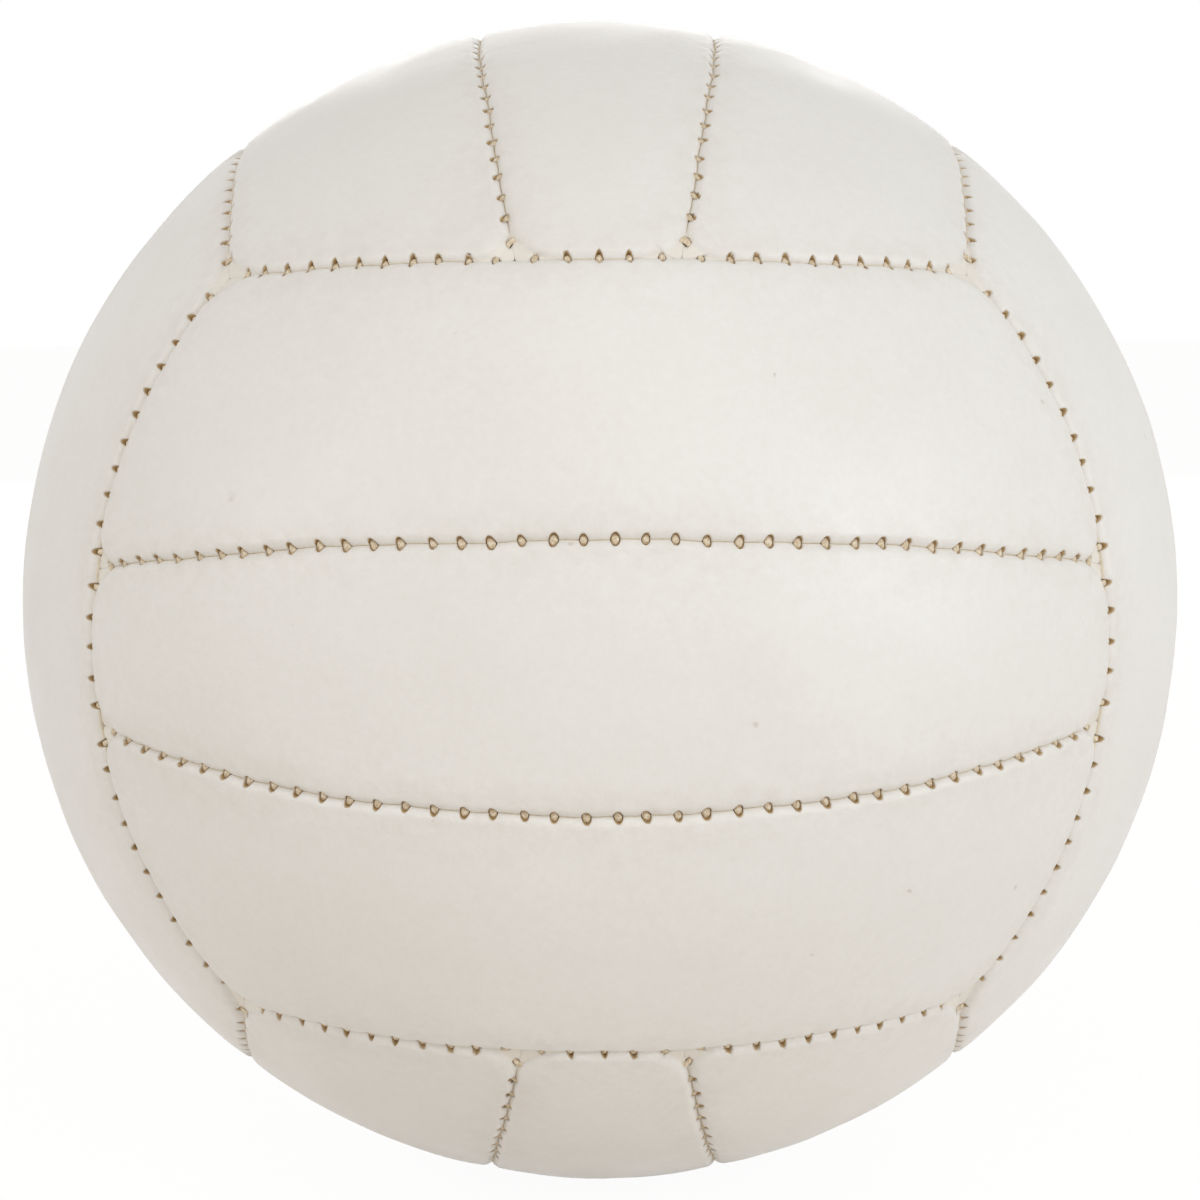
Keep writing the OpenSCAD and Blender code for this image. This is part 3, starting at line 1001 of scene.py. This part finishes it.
# Soft square lamps: places and sides in metres, watts and colours
LAMPS = {
    "right": {"place": (1.35, -1.05, 0.34), "side": 0.9, "watts": 9.8, "colour": (0.92, 1.0, 1.09)},
    "left": {"place": (-1.45, -0.90, 0.55), "side": 0.9, "watts": 6.4, "colour": (0.97, 1.0, 1.05)},
    "above": {"place": (0.1, -1.20, 1.30), "side": 1.2, "watts": 5.7, "colour": (1.04, 1.0, 0.96)},
    "behind": {"place": (0.0, 1.70, 0.40), "side": 0.9, "watts": 6.5, "colour": (1.0, 1.0, 1.0)},
}


def add_lamp(name, place, side, watts, colour):
    """A soft square lamp that points at the ball."""
    lamp = bpy.data.lights.new(name, "AREA")
    lamp.shape = "SQUARE"
    lamp.size = side
    lamp.energy = watts
    lamp.color = colour
    holder = bpy.data.objects.new(name, lamp)
    holder.location = place
    holder.rotation_euler = (-Vector(place)).to_track_quat("-Z", "Y").to_euler()
    bpy.context.scene.collection.objects.link(holder)


def seen_rays(tree):
    """1 for rays that see a surface, straight or by mirror or glass, and 0 for those that light it."""
    path = tree.nodes.new("ShaderNodeLightPath")
    found = path.outputs["Is Camera Ray"]
    for name in ("Is Glossy Ray", "Is Transmission Ray"):
        either = tree.nodes.new("ShaderNodeMath")
        either.operation = "MAXIMUM"
        tree.links.new(found, either.inputs[0])
        tree.links.new(path.outputs[name], either.inputs[1])
        found = either.outputs[0]
    return found


def blend_shaders(tree, share, first, second, end):
    """Mixes two shaders, with a share of the second one, into the socket at the end of the tree."""
    blend = tree.nodes.new("ShaderNodeMixShader")
    for output, socket in zip((share, first.outputs[0], second.outputs[0]), blend.inputs):
        tree.links.new(output, socket)
    tree.links.new(blend.outputs[0], end)


# The floor: half its side in metres, its surface, how bright it looks, and how much that hides its shadow
FLOOR_HALF = 6.0
FLOOR_COLOUR = (0.88, 0.82, 0.76, 1)
FLOOR_ROUGHNESS = 0.9
FLOOR_GLOW = 1.03
FLOOR_GLOW_SHARE = 0.92


def floor_material():
    """A pale material that is seen nearly white and keeps a soft shadow."""
    material = bpy.data.materials.new("floor")
    material.use_nodes = True
    tree = material.node_tree
    surface = tree.nodes["Principled BSDF"]
    surface.inputs["Base Color"].default_value = FLOOR_COLOUR
    surface.inputs["Roughness"].default_value = FLOOR_ROUGHNESS
    glow = tree.nodes.new("ShaderNodeEmission")
    glow.inputs["Strength"].default_value = FLOOR_GLOW
    seen = tree.nodes.new("ShaderNodeMath")
    seen.operation = "MULTIPLY"
    seen.inputs[1].default_value = FLOOR_GLOW_SHARE
    tree.links.new(seen_rays(tree), seen.inputs[0])
    blend_shaders(tree, seen.outputs[0], surface, glow, tree.nodes["Material Output"].inputs["Surface"])
    return material


def add_floor():
    level = -BALL_R * MM
    corners = [(x * FLOOR_HALF, y * FLOOR_HALF, level) for x, y in ((-1, -1), (1, -1), (1, 1), (-1, 1))]
    mesh = bpy.data.meshes.new("floor")
    mesh.from_pydata(corners, [], [(0, 1, 2, 3)])
    mesh.materials.append(floor_material())
    floor = bpy.data.objects.new("floor", mesh)
    bpy.context.scene.collection.objects.link(floor)


WORLD_COLOUR = (1.0, 0.98, 0.96, 1)
WORLD_STRENGTH = 0.47


def set_world():
    """Soft light from all round, and white where it is seen."""
    world = bpy.data.worlds.new("studio")
    bpy.context.scene.world = world
    world.use_nodes = True
    tree = world.node_tree
    light = tree.nodes["Background"]
    light.inputs["Color"].default_value = WORLD_COLOUR
    light.inputs["Strength"].default_value = WORLD_STRENGTH
    white = tree.nodes.new("ShaderNodeBackground")
    white.inputs["Color"].default_value = (1, 1, 1, 1)
    white.inputs["Strength"].default_value = 1.0
    blend_shaders(tree, seen_rays(tree), light, white, tree.nodes["World Output"].inputs["Surface"])


dress_ball()
add_camera()
add_floor()
set_world()
for lamp_name, settings in LAMPS.items():
    add_lamp(lamp_name, **settings)
bpy.context.scene.view_settings.view_transform = "Standard"
